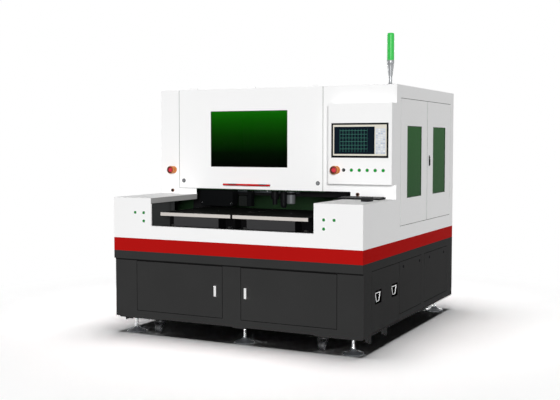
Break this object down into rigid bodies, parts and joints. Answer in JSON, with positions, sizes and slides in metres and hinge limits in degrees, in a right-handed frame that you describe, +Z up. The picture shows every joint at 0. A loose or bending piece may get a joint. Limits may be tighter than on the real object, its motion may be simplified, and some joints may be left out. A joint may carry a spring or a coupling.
{
  "type": "laser glass cutting machine",
  "caption": "Enclosed laser machine for cutting glass sheets: sliding worktables in a front bay, gantry with laser heads under a hood, touch screen box and cabinet base on levelling feet.",
  "frame": {"origin": "on the floor, below the middle of the enclosure's plan", "axes": "+Z up, -Y towards the operator at the loading bay, +X to the operator's right, where the control box is"},
  "size_m": [1.808, 1.886, 1.994],
  "materials": {
    "white_paint": "semi-gloss",
    "charcoal_paint": "matte texture",
    "red_paint": "semi-gloss",
    "granite": "ground",
    "liner": "matte",
    "grey_paint": "satin",
    "rail_steel": "ground",
    "chrome": "polished",
    "table_top": "dark anodised top, ground edge",
    "dark_metal": "satin",
    "head_casting": "black anodised",
    "carriage_plate": "anodised",
    "saddle_box": "dark anodised",
    "tinted_pane": "clear tint",
    "red_plastic": "gloss",
    "yellow_plastic": "satin",
    "green_plastic": "translucent",
    "dark_plastic": "satin",
    "tower_green": "translucent",
    "bezel_metal": "satin, bronze on the start buttons",
    "wheel_nylon": "satin",
    "red_handle": "gloss",
    "module_grey": "satin"
  },
  "bodies": {
    "machine": {"base_cabinet": "charcoal_paint", "base_covers": "charcoal_paint", "machine_bed": "granite", "bay_liner": "liner", "table_housing": "white_paint", "colour_band": "red_paint", "hood_shell": "white_paint", "hood_covers": "white_paint", "control_box": "white_paint", "monitor": "dark_plastic", "button_rings": "bezel_metal", "estop_collars": "yellow_plastic", "pilot_lamps": "green_plastic", "tower_pole": "chrome", "tower_lens": "tower_green", "keyboard_set": "dark_plastic", "gantry": "grey_paint", "linear_rails": "rail_steel", "levelling_feet": "chrome", "caster_mounts": "dark_metal", "electronics": "module_grey"},
    "lift_door": {"lift_door": "white_paint", "lift_window": "tinted_pane", "lift_handle": "red_handle"},
    "lift_lock_left": {"lift_lock_left": "chrome"},
    "lift_lock_right": {"lift_lock_right": "chrome"},
    "front_door_left": {"front_door_left": "charcoal_paint", "front_handle_left": "chrome"},
    "front_door_right": {"front_door_right": "charcoal_paint", "front_handle_right": "chrome"},
    "side_door_front": {"side_door_front": "white_paint", "side_window_front": "tinted_pane"},
    "side_door_rear": {"side_door_rear": "white_paint", "side_window_rear": "tinted_pane", "side_door_handle": "dark_plastic"},
    "bail_front": {"bail_front": "chrome"},
    "bail_rear": {"bail_rear": "chrome"},
    "estop_head_left": {"estop_head_left": "red_plastic"},
    "estop_head_right": {"estop_head_right": "red_plastic"},
    "selector_knob": {"selector_knob": "dark_plastic"},
    "panel_button_1": {"panel_button_1": "green_plastic"},
    "panel_button_2": {"panel_button_2": "green_plastic"},
    "panel_button_3": {"panel_button_3": "green_plastic"},
    "panel_button_4": {"panel_button_4": "green_plastic"},
    "panel_button_5": {"panel_button_5": "green_plastic"},
    "start_button_left": {"start_button_left": "dark_plastic"},
    "start_button_right": {"start_button_right": "dark_plastic"},
    "worktable_left": {"left_table": "table_top", "left_saddle": "saddle_box"},
    "worktable_right": {"right_table": "table_top", "right_saddle": "saddle_box"},
    "x_carriage": {"x_carriage": "carriage_plate"},
    "cutting_head": {"cutting_head": "head_casting"},
    "splitting_head": {"splitting_head": "head_casting"},
    "caster_fork_left": {"caster_fork_left": "dark_metal"},
    "caster_fork_right": {"caster_fork_right": "dark_metal"},
    "wheel_front_left": {"wheel_front_left": "wheel_nylon"},
    "wheel_front_right": {"wheel_front_right": "wheel_nylon"},
    "wheel_rear_left": {"wheel_rear_left": "wheel_nylon"},
    "wheel_rear_right": {"wheel_rear_right": "wheel_nylon"}
  },
  "joints": [
    {"name": "lift_door_hinge", "type": "hinge", "parent": "machine", "child": "lift_door", "pos_m": [-0.1815, -0.311, 1.666], "axis": [-1, 0, 0], "range_deg": [0, 80]},
    {"name": "lift_lock_left_turn", "type": "hinge", "parent": "lift_door", "child": "lift_lock_left", "pos_m": [-0.71, -0.34, 1.014], "axis": [0, 1, 0], "range_deg": [0, 90]},
    {"name": "lift_lock_right_turn", "type": "hinge", "parent": "lift_door", "child": "lift_lock_right", "pos_m": [0.347, -0.34, 1.014], "axis": [0, -1, 0], "range_deg": [0, 90]},
    {"name": "front_door_left_hinge", "type": "hinge", "parent": "machine", "child": "front_door_left", "pos_m": [-0.718, -0.918, 0.3285], "axis": [0, 0, -1], "range_deg": [0, 110]},
    {"name": "front_door_right_hinge", "type": "hinge", "parent": "machine", "child": "front_door_right", "pos_m": [0.718, -0.918, 0.3285], "axis": [0, 0, 1], "range_deg": [0, 110]},
    {"name": "side_door_front_hinge", "type": "hinge", "parent": "machine", "child": "side_door_front", "pos_m": [0.894, -0.268, 1.158], "axis": [0, 0, -1], "range_deg": [0, 110]},
    {"name": "side_door_rear_hinge", "type": "hinge", "parent": "machine", "child": "side_door_rear", "pos_m": [0.894, 0.848, 1.158], "axis": [0, 0, 1], "range_deg": [0, 110]},
    {"name": "bail_front_swing", "type": "hinge", "parent": "machine", "child": "bail_front", "pos_m": [0.893, -0.673, 0.361], "axis": [0, -1, 0], "range_deg": [0, 90]},
    {"name": "bail_rear_swing", "type": "hinge", "parent": "machine", "child": "bail_rear", "pos_m": [0.893, -0.375, 0.361], "axis": [0, -1, 0], "range_deg": [0, 90]},
    {"name": "estop_left_press", "type": "slide", "parent": "machine", "child": "estop_head_left", "axis": [0, 1, 0], "range_m": [0, 0.005]},
    {"name": "estop_right_press", "type": "slide", "parent": "machine", "child": "estop_head_right", "axis": [0, 1, 0], "range_m": [0, 0.005]},
    {"name": "selector_turn", "type": "hinge", "parent": "machine", "child": "selector_knob", "pos_m": [0.571, -0.45, 1.108], "axis": [0, 1, 0], "range_deg": [0, 90]},
    {"name": "panel_button_1_press", "type": "slide", "parent": "machine", "child": "panel_button_1", "axis": [0, 1, 0], "range_m": [0, 0.0025], "stiffness_N_per_m": 400},
    {"name": "panel_button_2_press", "type": "slide", "parent": "machine", "child": "panel_button_2", "axis": [0, 1, 0], "range_m": [0, 0.0025], "stiffness_N_per_m": 400},
    {"name": "panel_button_3_press", "type": "slide", "parent": "machine", "child": "panel_button_3", "axis": [0, 1, 0], "range_m": [0, 0.0025], "stiffness_N_per_m": 400},
    {"name": "panel_button_4_press", "type": "slide", "parent": "machine", "child": "panel_button_4", "axis": [0, 1, 0], "range_m": [0, 0.0025], "stiffness_N_per_m": 400},
    {"name": "panel_button_5_press", "type": "slide", "parent": "machine", "child": "panel_button_5", "axis": [0, 1, 0], "range_m": [0, 0.0025], "stiffness_N_per_m": 400},
    {"name": "start_button_left_press", "type": "slide", "parent": "machine", "child": "start_button_left", "axis": [0, 1, 0], "range_m": [0, 0.0025], "stiffness_N_per_m": 400},
    {"name": "start_button_right_press", "type": "slide", "parent": "machine", "child": "start_button_right", "axis": [0, 1, 0], "range_m": [0, 0.0025], "stiffness_N_per_m": 400},
    {"name": "worktable_left_feed", "type": "slide", "parent": "machine", "child": "worktable_left", "axis": [0, 1, 0], "range_m": [0, 0.8]},
    {"name": "worktable_right_feed", "type": "slide", "parent": "machine", "child": "worktable_right", "axis": [0, 1, 0], "range_m": [0, 0.8]},
    {"name": "carriage_travel", "type": "slide", "parent": "machine", "child": "x_carriage", "axis": [1, 0, 0], "range_m": [-0.16, 0.6]},
    {"name": "cutting_head_lift", "type": "slide", "parent": "x_carriage", "child": "cutting_head", "axis": [0, 0, 1], "range_m": [-0.006, 0.06]},
    {"name": "splitting_head_lift", "type": "slide", "parent": "x_carriage", "child": "splitting_head", "axis": [0, 0, 1], "range_m": [-0.006, 0.06]},
    {"name": "caster_left_swivel", "type": "hinge", "parent": "machine", "child": "caster_fork_left", "pos_m": [-0.602, -0.835, 0.089], "axis": [0, 0, 1], "continuous": true},
    {"name": "wheel_front_left_roll", "type": "hinge", "parent": "caster_fork_left", "child": "wheel_front_left", "pos_m": [-0.602, -0.855, 0.038], "axis": [1, 0, 0], "continuous": true},
    {"name": "wheel_rear_left_roll", "type": "hinge", "parent": "machine", "child": "wheel_rear_left", "pos_m": [-0.602, 0.815, 0.038], "axis": [1, 0, 0], "continuous": true},
    {"name": "caster_right_swivel", "type": "hinge", "parent": "machine", "child": "caster_fork_right", "pos_m": [0.602, -0.835, 0.089], "axis": [0, 0, 1], "continuous": true},
    {"name": "wheel_front_right_roll", "type": "hinge", "parent": "caster_fork_right", "child": "wheel_front_right", "pos_m": [0.602, -0.855, 0.038], "axis": [1, 0, 0], "continuous": true},
    {"name": "wheel_rear_right_roll", "type": "hinge", "parent": "machine", "child": "wheel_rear_right", "pos_m": [0.602, 0.815, 0.038], "axis": [1, 0, 0], "continuous": true}
  ]
}
